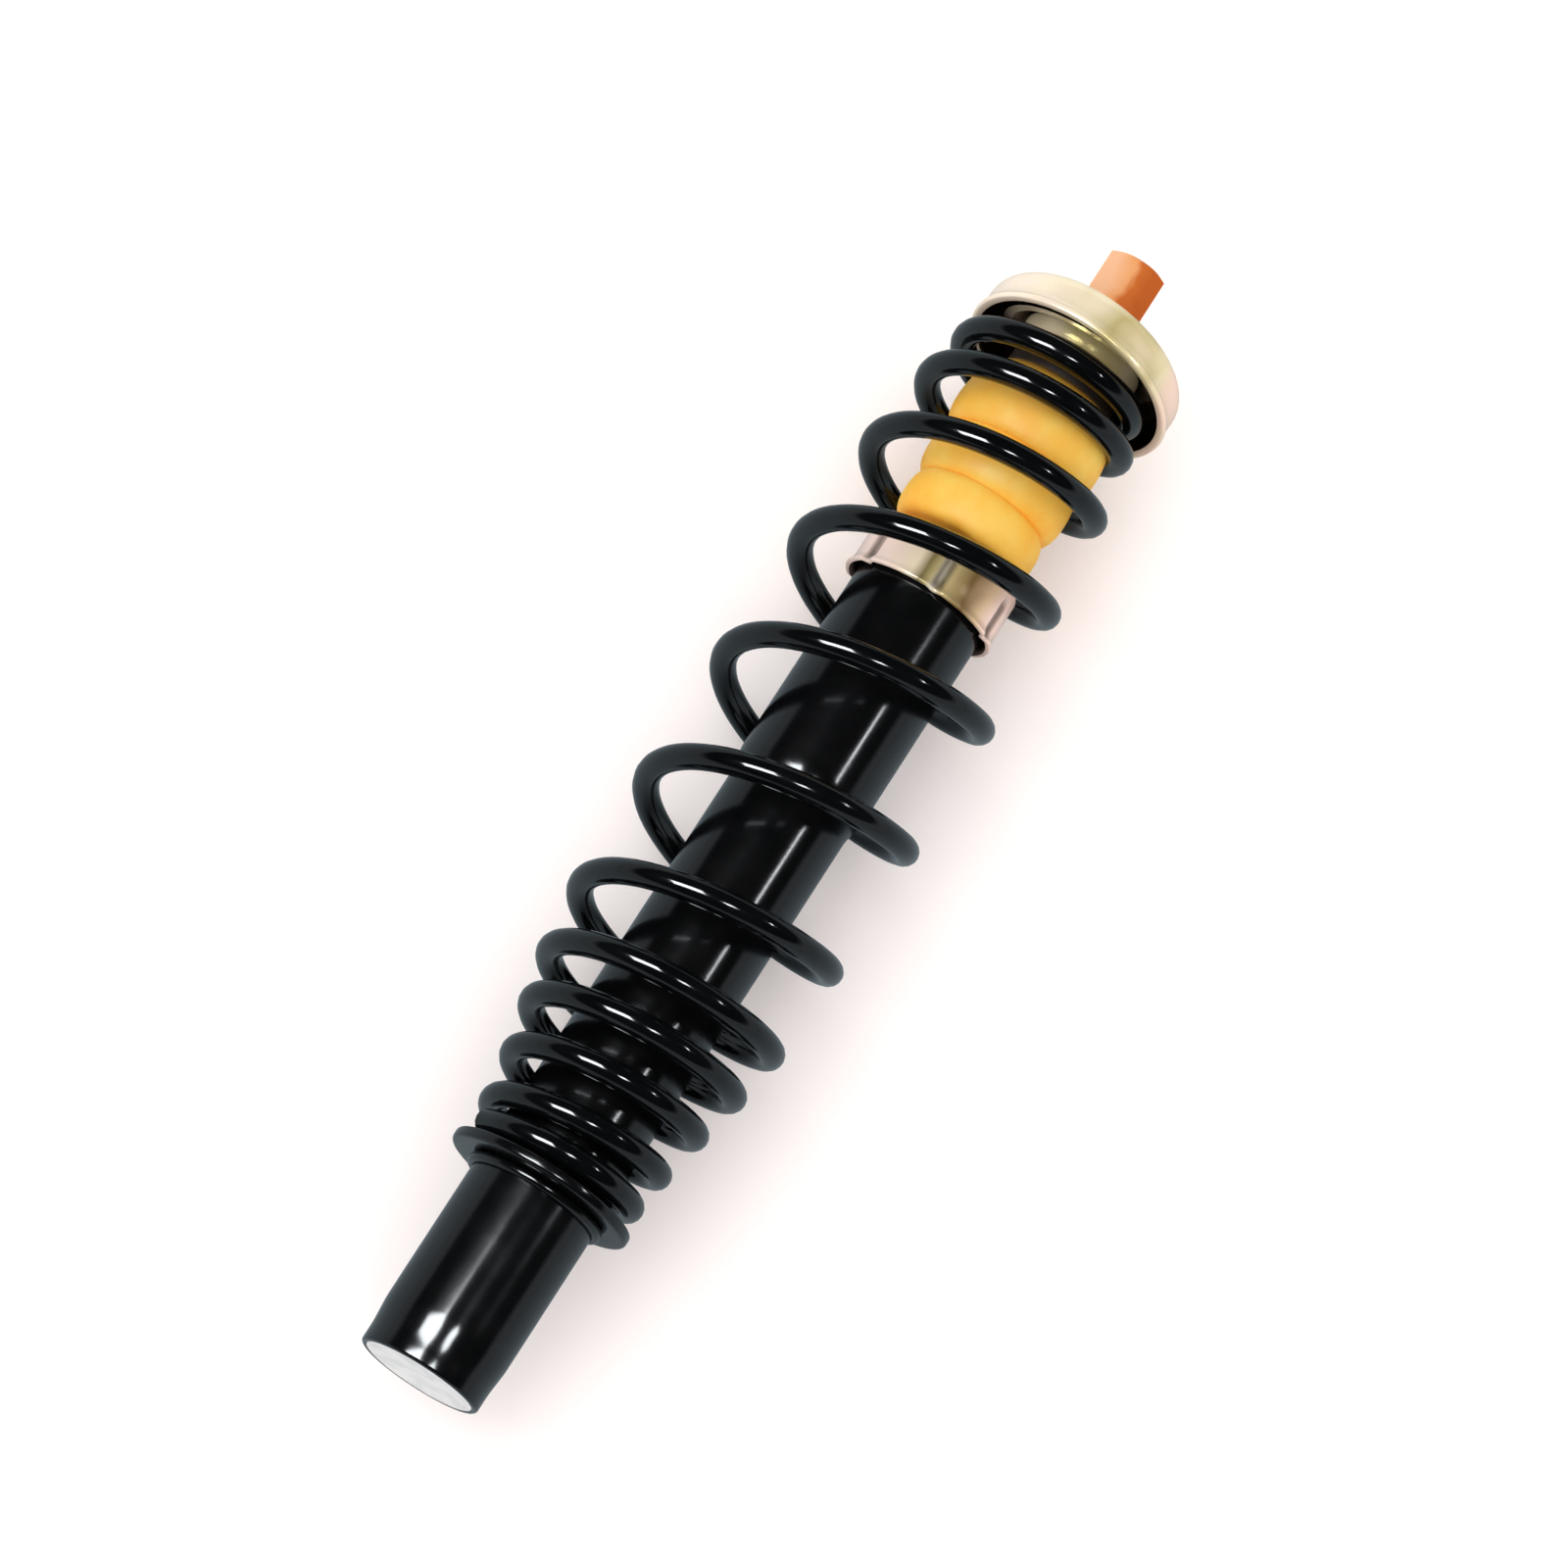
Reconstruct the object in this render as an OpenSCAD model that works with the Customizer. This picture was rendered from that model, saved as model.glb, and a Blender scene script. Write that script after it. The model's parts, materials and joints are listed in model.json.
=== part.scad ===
// Front strut coilover: twin-tube damper, barrel-shaped progressive spring and urethane jounce bumper.
// Each piece is drawn upright, with the closed end of the body tube at height 0, and lay() then
// turns it on its side: the strut's axis runs along +X, from the closed end to the top nut.
// Drawn upright, -X is the side that faces up once the strut lies down. Millimetres throughout.

/* [Body tube] */
// Height of the rolled-over top edge of the body tube
tube_top = 344; // [336:1:346]
// Outer diameter of the lower end, which the knuckle clamps
clamp_d = 48; // [47.5:0.5:50]
// Outer diameter between the spring seat and the neck
waist_d = 46.5; // [45.5:0.5:47]
// Outer diameter above the neck
upper_d = 50; // [49:0.5:50]
// Bore of the body tube
tube_bore = 43; // [42:0.5:43]
// Height of the neck, where the tube swells to its upper diameter
neck_z = 243; // [220:1:260]
// Height of the underside of the lower spring seat
seat_z = 75.5; // [70:0.5:76]

/* [Spring] */
// Diameter of the spring wire
wire_d = 9.5; // [8.5:0.5:9.5]
// Outer diameter of the widest coil
belly_d = 100.5; // [96:0.5:104]
// Outer diameter of the lowest coil
foot_d = 69; // [69:0.5:72]
// Outer diameter of the top coil
crown_d = 73; // [72:0.5:73]
// Rise per turn in the close-wound lower part
close_pitch = 18.5; // [18:0.1:18.5]
// Rise per turn in the open middle part
wide_pitch = 51.75; // [50:0.25:51.75]
// Sideways lean of the spring at its top
spring_lean = 4; // [0:0.5:4]

/* [Upper end] */
// Outer diameter of the spring retainer's rim
retainer_d = 81; // [81:0.5:84]
// Height of the retainer's rim
retainer_h = 17; // [16:0.5:17]
// Slope of the retainer's rim to the strut's axis
retainer_tilt = 11; // [8:0.5:11]
// Width across the flats of the top nut
nut_flats = 22; // [21:1:24]
// Height of the top nut
nut_h = 21; // [14:1:22]

/* [Rod and bumper] */
// Diameter of the piston rod
rod_d = 16; // [15:1:16]
// Diameter of the threaded stud at the top of the rod
stud_d = 14; // [12:1:14]
// Radius of the bumper's top lobe
top_lobe_r = 28.6; // [27:0.1:28.6]
// Radius of the bumper's middle lobe
mid_lobe_r = 27.7; // [26:0.1:27.7]
// Radius of the bumper's bottom lobe
low_lobe_r = 26.3; // [25:0.1:26.3]

/* [Hidden] */
$fn = 96;

// Fits: radial clearances
run_fit = 0.03;
slip_fit = 0.1;
disc_gap = 0.05;
foot_fit = 0.3;

// Lower end of the tube
end_taper_z = 18;
end_taper_r = 1.2;
groove_r = 2;
ring_z = seat_z - groove_r;
ring_r = clamp_d / 2 - 1.2 + groove_r;
seat_t = 4;
seat_r = 35;
shank_top = seat_z + 20;
plug_t = 6;

// Top of the tube and the bump cap
crimp_t = 2;
seal_z = tube_top - crimp_t - 5;
guide_z = seal_z - 16;
spigot_h = 8;
cap_t = 1.6;
cap_wall_r = 28.45;
cap_lip_r = 29.6;
cap_h = 21.6;
cap_top = tube_top + cap_t;
flute_count = 6;
flute_r = 3;
flute_centre_r = upper_d / 2 + 0.05 + flute_r + cap_t;

// Damper internals
bore_r = tube_bore / 2;
cylinder_r = 15;
cylinder_t = 1.5;
web_z = 11;
web_t = 8;
piston_z = 272;
piston_h = 16;
spigot_r = 5;
rod_r = rod_d / 2;
shoulder_z = piston_z + piston_h + 4;
rod_foot_z = piston_z - 14;
stop_z = guide_z - spigot_h - 15;

// Upper end stack: the rod's shoulder is under the bumper cup, whose top is at stack_z
stack_z = 438;
cup_t = 2;
hub_top = 450;
sheet_t = 2.5;
washer_t = 3;
nut_z = hub_top + washer_t;
strut_top = nut_z + nut_h;
rim_z = 425.3;
tilt_turn = -20;
hub_r = 17;
skirt_r = 31;
skirt_z = 434;

// Bumper: heights of its two creases and its ends
bumper_foot = cap_top + 4.4;
low_crease = 367.6;
mid_crease = 388;
top_crease = 417.5;
neck_r = 20.5;
lobe_fullness = 2.6;
lobe_shoulder = 1.8;
bumper_head = stack_z - cup_t;

// Spring: turns are counted upwards from the +Y side, the wire's lower tip being tip_turn on
tip_turn = 0.06;
last_turn = 11.75;
ring_sides = 10;
rings_per_turn = 30;

// Turns at which the pitch and the coil diameter start to change, and over how many turns they do
foot_start = 0.5;
foot_span = 0.8;
wide_start = 3.9;
wide_span = 2.1;
close_start = 7.25;
close_span = 4.6;
swell_start = 0.2;
swell_span = 5.6;
crown_start = 7.3;
crown_span = 5;
spring_foot = seat_z + seat_t + wire_d / 2;

// Turns a piece from upright to lying along +X
module lay() {
    rotate([0, 90, 0]) children();
}

// Points of an arc, from one angle to another
function arc(cx, cy, r, from, to, steps = 8) =
    [for (i = [0 : steps]) let (a = from + (to - from) * i / steps) [cx + r * cos(a), cy + r * sin(a)]];

module ring(inner_r, outer_r, low, high) {
    translate([0, 0, low]) difference() {
        cylinder(r = outer_r, h = high - low);
        translate([0, 0, -1]) cylinder(r = inner_r, h = high - low + 2);
    }
}

// Hexagon whose corners lie on the X axis, with bevelled ends
module hex_block(flats, low, high, bevel_top, bevel_low) {
    corner = flats / 2 / cos(30);
    intersection() {
        translate([0, 0, low]) cylinder(r = corner, h = high - low, $fn = 6);
        rotate_extrude() polygon([
            [0, low], [corner - bevel_low * 1.8, low], [corner, low + bevel_low],
            [corner, high - bevel_top], [corner - bevel_top * 1.8, high], [0, high]]);
    }
}

// ---- Body ----

module body_tube() {
    color("#101214") lay() difference() {
        rotate_extrude() polygon(concat(
            [[21.3, 0], [clamp_d / 2 - end_taper_r - 1, 0]],
            arc(clamp_d / 2 - end_taper_r - 1, 1, 1, -90, 0),
            [[clamp_d / 2 - end_taper_r, 9], [clamp_d / 2 - 0.9, 12], [clamp_d / 2 - 0.25, 15.5],
             [clamp_d / 2, end_taper_z], [clamp_d / 2, shank_top], [waist_d / 2, shank_top + 3],
             [waist_d / 2, neck_z - 4], [upper_d / 2, neck_z + 4]],
            arc(upper_d / 2 - 2, tube_top - 2, 2, 0, 90),
            [[13, tube_top], [13, tube_top - crimp_t], [bore_r, tube_top - crimp_t],
             [bore_r, plug_t + 1], [21.3, plug_t]]));
        translate([0, 0, ring_z]) rotate_extrude() translate([ring_r, 0]) circle(r = groove_r + 0.05);
    }
}

module body_end_plug() {
    color("#e4e4e0") lay() rotate_extrude() polygon(concat(
        [[0, 0], [20.5, 0]], arc(20.5, 0.7, 0.7, -90, 0), [[21.2, plug_t], [0, plug_t]]));
}

module seat_snap_ring() {
    color("#101214") lay() translate([0, 0, ring_z])
        rotate([0, 0, 10]) rotate_extrude(angle = 340) translate([ring_r, 0]) circle(r = groove_r);
}

module lower_spring_seat() {
    color("#101214") lay() rotate_extrude() polygon(concat(
        [[clamp_d / 2 + slip_fit, seat_z]],
        arc(seat_r - 1.5, seat_z + 1.5, 1.5, -90, 0), arc(seat_r - 1, seat_z + seat_t - 1, 1, 0, 90),
        [[clamp_d / 2 + slip_fit, seat_z + seat_t]]));
}

module bump_cap() {
    wall_in = cap_wall_r - cap_t;
    foot = cap_top - cap_h;
    color("#d8c48a") lay() difference() {
        union() {
            rotate_extrude() polygon(concat(
                [[rod_r + 1.5, tube_top], [wall_in - 1, tube_top], [wall_in, tube_top - 1],
                 [wall_in, foot + 2.6], [cap_lip_r - cap_t + 0.2, foot]],
                arc(cap_lip_r - 0.7, foot + 0.7, 0.7, -90, 20, 5), [[cap_wall_r, foot + 3]],
                arc(cap_wall_r - 2.6, cap_top - 2.6, 2.6, 0, 90), [[rod_r + 1.5, cap_top]]));
            intersection() {
                translate([0, 0, foot + 1]) cylinder(r = wall_in + 0.3, h = cap_h - 1.5);
                flutes(flute_r + cap_t, foot, cap_top);
            }
        }
        flutes(flute_r, foot - 1, cap_top - 3.5);
    }
}

// Upright half-round flutes pressed into the cap's wall until they grip the tube
module flutes(radius, low, high) {
    for (i = [0 : flute_count - 1])
        rotate([0, 0, 183 + i * 360 / flute_count])
            translate([flute_centre_r, 0, low]) cylinder(r = radius, h = high - low, $fn = 48);
}

// ---- Seal, guide and cylinder ----

module rod_seal() {
    color("#1c1c1e") lay() rotate_extrude() polygon([
        [rod_r + disc_gap, seal_z], [bore_r - disc_gap, seal_z], [bore_r - disc_gap, seal_z + 5],
        [12.2, seal_z + 5], [12.2, seal_z + 2.5], [rod_r + 2.4, seal_z + 2.5],
        [rod_r + 1.6, seal_z + 4.6], [rod_r + disc_gap, seal_z + 3.8]]);
}

module seal_garter_spring() {
    color("#b8bcc0") lay() translate([0, 0, seal_z + 3.7])
        rotate_extrude() translate([rod_r + 3.05, 0]) circle(r = 0.65, $fn = 24);
}

module rod_guide() {
    bush_r = rod_r + 1;
    color("#8f8f8c") lay() rotate_extrude() polygon([
        [bush_r, guide_z - spigot_h], [cylinder_r - slip_fit, guide_z - spigot_h],
        [cylinder_r - slip_fit, guide_z], [bore_r - slip_fit, guide_z],
        [bore_r - slip_fit, seal_z], [bush_r, seal_z]]);
}

module guide_bush() {
    color("#9a7a48") lay() ring(rod_r + run_fit, rod_r + 1, guide_z - spigot_h + 1, seal_z - 3);
}

module pressure_tube() {
    color("#a9adb0") lay() ring(cylinder_r, cylinder_r + cylinder_t, web_z + 2, guide_z);
}

// ---- Foot valve ----

module foot_valve_body() {
    color("#8f8f8c") lay() difference() {
        union() {
            translate([0, 0, web_z]) cylinder(r = cylinder_r - slip_fit, h = web_t);
            translate([0, 0, web_z]) cylinder(r = bore_r - slip_fit, h = 2);
            ring(bore_r - 3.5, bore_r - foot_fit, plug_t, web_z);
        }
        translate([0, 0, web_z - 1]) cylinder(r = 3 + slip_fit, h = web_t + 2);
        for (i = [0 : 3]) rotate([0, 0, 45 + i * 90])
            translate([bore_r - 4, -4, plug_t - 1]) cube([6, 8, web_z - plug_t + 4]);
        for (i = [0 : 7]) rotate([0, 0, i * 45])
            translate([10.5, 0, web_z - 1]) cylinder(r = 1.4, h = web_t + 2, $fn = 24);
        for (i = [0 : 3]) rotate([0, 0, 22.5 + i * 90])
            translate([5.8, 0, web_z - 1]) cylinder(r = 1, h = web_t + 2, $fn = 24);
    }
}

module foot_valve_discs() {
    color("#c4c6c8") lay() for (i = [0 : 2])
        ring(3 + slip_fit, 7.6 - i * 0.8, web_z - 0.3 * (i + 1), web_z - 0.3 * i - 0.02);
}

module foot_valve_bolt() {
    color("#9c9ea0") lay() {
        hex_block(10, web_z - 4, web_z - 0.95, 0.3, 0.6);
        translate([0, 0, web_z - 1.5]) cylinder(r = 3, h = web_t + 9.5);
    }
}

module foot_valve_nut() {
    low = web_z + web_t + 4.2;
    color("#9c9ea0") lay() difference() {
        hex_block(10, low, low + 3, 0.5, 0.2);
        translate([0, 0, low - 1]) cylinder(r = 3 + disc_gap, h = 5);
    }
}

module valve_plate(hole_r, outer_r, low, port_r) {
    difference() {
        ring(hole_r, outer_r, low, low + 0.6);
        if (port_r > 0) for (i = [0 : 3]) rotate([0, 0, 22.5 + i * 90])
            translate([port_r, 0, low - 1]) cylinder(r = 1.1, h = 3, $fn = 24);
    }
}

module intake_plate() {
    color("#c4c6c8") lay() valve_plate(3.4, 12.6, web_z + web_t + disc_gap, 5.8);
}

// Light three-legged spring that holds a valve plate on its seat
module star_spring(hole_r, hub_r, reach, low, rise) {
    ring(hole_r, hub_r, low + rise - 0.4, low + rise);
    for (i = [0 : 2]) rotate([0, 0, i * 120])
        translate([hub_r - 0.6, 0, low + rise - 0.4])
            rotate([0, atan(rise / (reach - hub_r)) * 0.82, 0])
                translate([0, -1, 0]) cube([reach - hub_r, 2, 0.35]);
}

module intake_spring() {
    color("#c4c6c8") lay() star_spring(3.2, 4.8, 10, web_z + web_t + 0.8, 3.2);
}

// ---- Piston and rod ----

module piston() {
    color("#77797a") lay() difference() {
        translate([0, 0, piston_z]) cylinder(r = 14.6, h = piston_h);
        translate([0, 0, piston_z - 1]) cylinder(r = spigot_r + disc_gap, h = piston_h + 2);
        ring(13.6, 16, piston_z + 3, piston_z + piston_h - 3);
        for (i = [0 : 5]) rotate([0, 0, i * 60]) {
            translate([11, 0, piston_z - 1]) cylinder(r = 1.3, h = piston_h + 2, $fn = 24);
            rotate([0, 0, 30]) translate([7.4, 0, piston_z - 1])
                cylinder(r = 1, h = piston_h + 2, $fn = 24);
        }
    }
}

module piston_band() {
    color("#6a5a3c") lay()
        ring(13.6 + disc_gap, cylinder_r - disc_gap, piston_z + 3.1, piston_z + piston_h - 3.1);
}

module check_plate() {
    color("#c4c6c8") lay() valve_plate(spigot_r + 0.4, 12.6, piston_z + piston_h + disc_gap, 0);
}

module check_spring() {
    color("#c4c6c8") lay() star_spring(spigot_r + 0.2, 6.8, 11, piston_z + piston_h + 0.8, 2.1);
}

module check_stop_washer() {
    color("#a4a6a8") lay() ring(spigot_r + disc_gap, 10, shoulder_z - 1, shoulder_z);
}

module rebound_discs() {
    color("#c4c6c8") lay() for (i = [0 : 3])
        ring(spigot_r + disc_gap, 9.4 - i * 0.7, piston_z - 0.3 * (i + 1), piston_z - 0.3 * i - 0.02);
}

module piston_nut() {
    color("#9c9ea0") lay() difference() {
        hex_block(17, piston_z - 9.5, piston_z - 1.25, 0.4, 1);
        translate([0, 0, piston_z - 10]) cylinder(r = spigot_r + disc_gap, h = 10);
    }
}

module rebound_stop() {
    color("#9c9ea0") lay() ring(rod_r + disc_gap, 13.4, stop_z, stop_z + 5);
}

module rebound_cushion() {
    color("#3a3a34") lay() ring(rod_r + slip_fit, 12.6, stop_z + 5.05, stop_z + 14.7);
}

module piston_rod() {
    color("#c8ccd0") lay() difference() {
        rotate_extrude() polygon([
            [0, rod_foot_z], [spigot_r - 1, rod_foot_z], [spigot_r, rod_foot_z + 1],
            [spigot_r, shoulder_z], [rod_r - 0.6, shoulder_z], [rod_r, shoulder_z + 0.6],
            [rod_r, bumper_head - 0.6], [rod_r - 0.6, bumper_head], [stud_d / 2 - slip_fit, bumper_head],
            [stud_d / 2 - slip_fit, strut_top - 3], [stud_d / 2 - 1.3, strut_top - 1.8],
            [0, strut_top - 1.8]]);
        translate([0, 0, strut_top - 8]) cylinder(r = 3.4, h = 10, $fn = 6);
    }
}

// ---- Bumper ----

// One half of a lobe, between a crease and its widest ring, as points from low to high
function half_lobe(crease_r, lobe_r, crease_z, lobe_z, fullness, steps = 8) =
    let (points = [for (i = [0 : steps - 1])
        let (u = cos(90 * i / steps))
        [crease_r + (lobe_r - crease_r) * pow(1 - pow(u, fullness), 1 / fullness),
         lobe_z + (crease_z - lobe_z) * u]])
    crease_z < lobe_z ? points : concat([[lobe_r, lobe_z]], [for (i = [steps - 1 : -1 : 1]) points[i]]);

function lobe(low_r, lobe_r, high_r, low_z, lobe_z, high_z, shoulder) =
    concat(half_lobe(low_r, lobe_r, low_z, lobe_z, lobe_fullness),
           half_lobe(high_r, lobe_r, high_z, lobe_z, shoulder));

module jounce_bumper() {
    bore = rod_r + 0.4;
    color("#f4b83c") lay() rotate_extrude() polygon(concat(
        [[bore, bumper_foot], [19, bumper_foot]],
        lobe(21.5, low_lobe_r, 22.4, bumper_foot, 359, low_crease, lobe_fullness),
        lobe(22.4, mid_lobe_r, 24, low_crease, 378, mid_crease, lobe_fullness),
        lobe(24, top_lobe_r, neck_r, mid_crease, 399, top_crease, lobe_shoulder),
        [[neck_r, top_crease], [neck_r, bumper_head], [bore, bumper_head]]));
}

module bumper_cup() {
    cup_r = 23;
    color("#cdb67c") lay() rotate_extrude() polygon(concat(
        [[stud_d / 2 + slip_fit, bumper_head], [cup_r - 1.6, bumper_head], [cup_r - 1.6, bumper_head - 6],
         [cup_r, bumper_head - 6]],
        arc(cup_r - 2, stack_z - 2, 2, 0, 90), [[stud_d / 2 + slip_fit, stack_z]]));
}

// ---- Upper end ----

module top_spacer() {
    color("#b9bcbe") lay() ring(stud_d / 2 + slip_fit, 11, stack_z, hub_top - sheet_t);
}

// Rim and spring bearing face of the retainer, square to its own axis
module retainer_rim() {
    outer = retainer_d / 2;
    bend = 7;
    rotate_extrude() polygon(concat(
        [[hub_r - 3, retainer_h], [hub_r - 3, retainer_h - sheet_t]],
        arc(outer - 1 - bend, retainer_h - bend, bend - sheet_t, 90, 0),
        [[outer - sheet_t, 1.4], [outer - sheet_t, 0]],
        arc(outer - 0.8, 0.8, 0.8, -90, 0, 4), arc(outer - 0.8, 1.8, 0.8, 0, 60, 4),
        [[outer - 0.9, 3.2]],
        arc(outer - 1 - bend, retainer_h - bend, bend, 0, 90)));
}

// Raised hub of the retainer: a cone with a flat top, square to the rod
module retainer_hub(extra) {
    rotate_extrude() polygon([
        [0, hub_top - extra], [hub_r - extra * 0.6, hub_top - extra],
        [skirt_r - extra * 1.3, skirt_z], [skirt_r - extra * 1.3, skirt_z - 20], [0, skirt_z - 20]]);
}

module upper_spring_retainer() {
    color("#d8c48a") lay() difference() {
        union() {
            difference() {
                translate([0, 0, rim_z]) rotate([0, 0, tilt_turn]) rotate([0, retainer_tilt, 0])
                    retainer_rim();
                retainer_hub(0.6);
            }
            difference() {
                retainer_hub(0);
                retainer_hub(sheet_t);
                translate([0, 0, skirt_z - 30]) cylinder(r = skirt_r + 5, h = 30);
            }
        }
        translate([0, 0, hub_top - 10]) cylinder(r = stud_d / 2 + slip_fit, h = 20);
    }
}

module top_washer() {
    color("#c9a468") lay() ring(stud_d / 2 + slip_fit, 14, hub_top, nut_z);
}

module top_nut() {
    color("#d98f4a") lay() difference() {
        hex_block(nut_flats, nut_z, strut_top, 1.2, 0.8);
        translate([0, 0, nut_z - 1]) cylinder(r = stud_d / 2, h = nut_h + 2);
    }
}

// ---- Spring ----

function ease(x) = let (u = max(0, min(1, x))) u * u * (3 - 2 * u);

// Area under ease() from 0 to x
function eased(x) = x <= 0 ? 0 : x >= 1 ? x - 0.5 : pow(x, 3) - pow(x, 4) / 2;

// The lowest coil is closed, the next four are close-wound, the middle opens out to the wide
// pitch and the upper part closes up again
function rise_per_turn(t) = wire_d + (close_pitch - wire_d) * ease((t - foot_start) / foot_span)
    + (wide_pitch - close_pitch) * ease((t - wide_start) / wide_span)
    - (wide_pitch - wire_d) * ease((t - close_start) / close_span);

function wire_z(t) = spring_foot + wire_d * (t - tip_turn)
    + (close_pitch - wire_d) * foot_span * eased((t - foot_start) / foot_span)
    + (wide_pitch - close_pitch) * wide_span * eased((t - wide_start) / wide_span)
    - (wide_pitch - wire_d) * close_span * eased((t - close_start) / close_span);

// Barrel shape: radius of the wire's centre line
function wire_r(t) = (foot_d + (belly_d - foot_d) * ease((t - swell_start) / swell_span)
    - (belly_d - crown_d) * ease((t - crown_start) / crown_span) - wire_d) / 2;

function wire_lean(t) = spring_lean * ease((t - 1) / (last_turn - 1));

// One ring of points around the wire, square to its direction
function wire_ring(t) =
    let (a = 90 + 360 * t, slope = atan(rise_per_turn(t) / (2 * PI * wire_r(t))), r = wire_d / 2)
    [for (k = [0 : ring_sides - 1])
        let (b = 360 * k / ring_sides, up = r * sin(b), out = wire_r(t) + r * cos(b),
            back = up * sin(slope))
        [out * cos(a) + back * sin(a), out * sin(a) - back * cos(a) + wire_lean(t),
         wire_z(t) + up * cos(slope)]];

module coil_spring() {
    steps = round((last_turn - tip_turn) * rings_per_turn);
    points = [for (i = [0 : steps]) each wire_ring(tip_turn + (last_turn - tip_turn) * i / steps)];
    sides = [for (i = [0 : steps - 1], k = [0 : ring_sides - 1])
        let (next = (k + 1) % ring_sides, here = i * ring_sides)
        each [[here + k, here + ring_sides + k, here + next],
              [here + next, here + ring_sides + k, here + ring_sides + next]]];
    first_end = [for (k = [0 : ring_sides - 1]) k];
    last_end = [for (k = [ring_sides - 1 : -1 : 0]) steps * ring_sides + k];
    color("#0d0f10") lay() polyhedron(points, concat(sides, [first_end, last_end]), convexity = 10);
}

body_tube();
body_end_plug();
seat_snap_ring();
lower_spring_seat();
coil_spring();
bump_cap();
rod_seal();
seal_garter_spring();
rod_guide();
guide_bush();
pressure_tube();
foot_valve_body();
foot_valve_discs();
foot_valve_bolt();
foot_valve_nut();
intake_plate();
intake_spring();
piston();
piston_band();
check_plate();
check_spring();
check_stop_washer();
rebound_discs();
piston_nut();
rebound_stop();
rebound_cushion();
piston_rod();
jounce_bumper();
bumper_cup();
top_spacer();
upper_spring_retainer();
top_washer();
top_nut();
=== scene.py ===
# %% [markdown]
# # A strut coilover, dressed for a studio picture
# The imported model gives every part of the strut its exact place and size. This lesson builds the
# surfaces that are seen around it: coiled wire, painted tube, zinc plated pressings and a moulded
# bumper. The strut lies on its side: its axis runs along +X from the closed end of the tube to the
# top nut, and +Z points up from the table.

import json
import math

import bpy
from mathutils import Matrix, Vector


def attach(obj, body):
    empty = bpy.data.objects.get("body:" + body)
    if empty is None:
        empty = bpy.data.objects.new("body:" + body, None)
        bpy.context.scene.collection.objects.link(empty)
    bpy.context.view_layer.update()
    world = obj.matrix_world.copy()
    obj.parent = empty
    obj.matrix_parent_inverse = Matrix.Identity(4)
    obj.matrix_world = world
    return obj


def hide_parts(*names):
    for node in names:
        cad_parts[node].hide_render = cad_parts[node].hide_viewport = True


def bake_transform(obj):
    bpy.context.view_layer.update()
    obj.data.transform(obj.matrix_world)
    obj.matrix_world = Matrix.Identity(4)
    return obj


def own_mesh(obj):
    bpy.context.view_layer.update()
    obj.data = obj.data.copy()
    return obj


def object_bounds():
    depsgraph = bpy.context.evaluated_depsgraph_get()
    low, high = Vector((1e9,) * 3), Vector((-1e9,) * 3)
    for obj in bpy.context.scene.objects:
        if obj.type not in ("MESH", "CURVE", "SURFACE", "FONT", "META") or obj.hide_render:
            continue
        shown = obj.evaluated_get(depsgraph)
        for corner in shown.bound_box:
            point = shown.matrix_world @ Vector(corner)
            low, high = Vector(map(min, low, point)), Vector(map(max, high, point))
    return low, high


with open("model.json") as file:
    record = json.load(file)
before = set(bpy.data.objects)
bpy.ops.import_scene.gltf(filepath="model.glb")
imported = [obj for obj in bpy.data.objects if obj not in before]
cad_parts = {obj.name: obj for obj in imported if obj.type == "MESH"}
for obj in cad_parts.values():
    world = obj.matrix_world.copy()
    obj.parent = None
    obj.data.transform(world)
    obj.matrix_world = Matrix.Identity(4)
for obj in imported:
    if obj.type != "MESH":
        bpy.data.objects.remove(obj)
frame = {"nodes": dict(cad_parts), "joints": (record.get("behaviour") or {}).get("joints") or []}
cad_low, cad_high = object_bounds()
print("strut box in metres:", tuple(cad_low), tuple(cad_high))

# %% [markdown]
# Workshop drawings are in millimetres, and Blender works in metres here. One small function keeps
# the numbers below readable. Colours are written as they look on a screen, as sRGB hex values, and
# one function turns them to the linear values that a shader wants.

# %% Units and colours


def mm(*lengths):
    """Millimetres to metres: one length, or a vector of three."""
    return lengths[0] / 1000 if len(lengths) == 1 else Vector(lengths) / 1000


def screen_colour(code):
    """An sRGB hex colour as linear red, green, blue and alpha."""
    channels = [int(code[i:i + 2], 16) / 255 for i in (1, 3, 5)]
    return [c / 12.92 if c <= 0.04045 else ((c + 0.055) / 1.055) ** 2.4 for c in channels] + [1.0]


# %% [markdown]
# A taper, a pressed flute and the growth of a spring all start and end gently. One smooth step
# serves them all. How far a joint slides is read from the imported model, by the joint's name.

# %% Smooth step and joint travel


def ease(x):
    """Smooth step from 0 to 1."""
    u = max(0.0, min(1.0, x))
    return u * u * (3 - 2 * u)


def travel(joint_name):
    """How far a sliding joint of the strut goes, in metres."""
    return max(joint["range_m"][1] for joint in frame["joints"] if joint["name"] == joint_name)


print("stroke of the strut in metres:", travel("strut_stroke"))

# %% [markdown]
# ## The camera
# It stands over the table, nearer to the closed end of the strut than to the nut, so the disc that
# closes the tube is just seen, and the retainer at the top shows the hollow of its rim. The lens is
# long, because the picture was taken from a good distance. The last turn, about the camera's own
# line of sight, makes the strut lean to the right.

# %% Camera
CAMERA_PLACE = Vector((-0.441, 0.0, 2.5))
CAMERA_AIM = Vector((0.2443, 0.0055, 0.0))
CAMERA_ROLL = math.radians(32.52)
LENS_MM = 171.5


def facing(place, target):
    """The turn that makes a camera, a lamp or a card at a place look at a target."""
    return (Vector(target) - Vector(place)).to_track_quat("-Z", "Y").to_euler()


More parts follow.
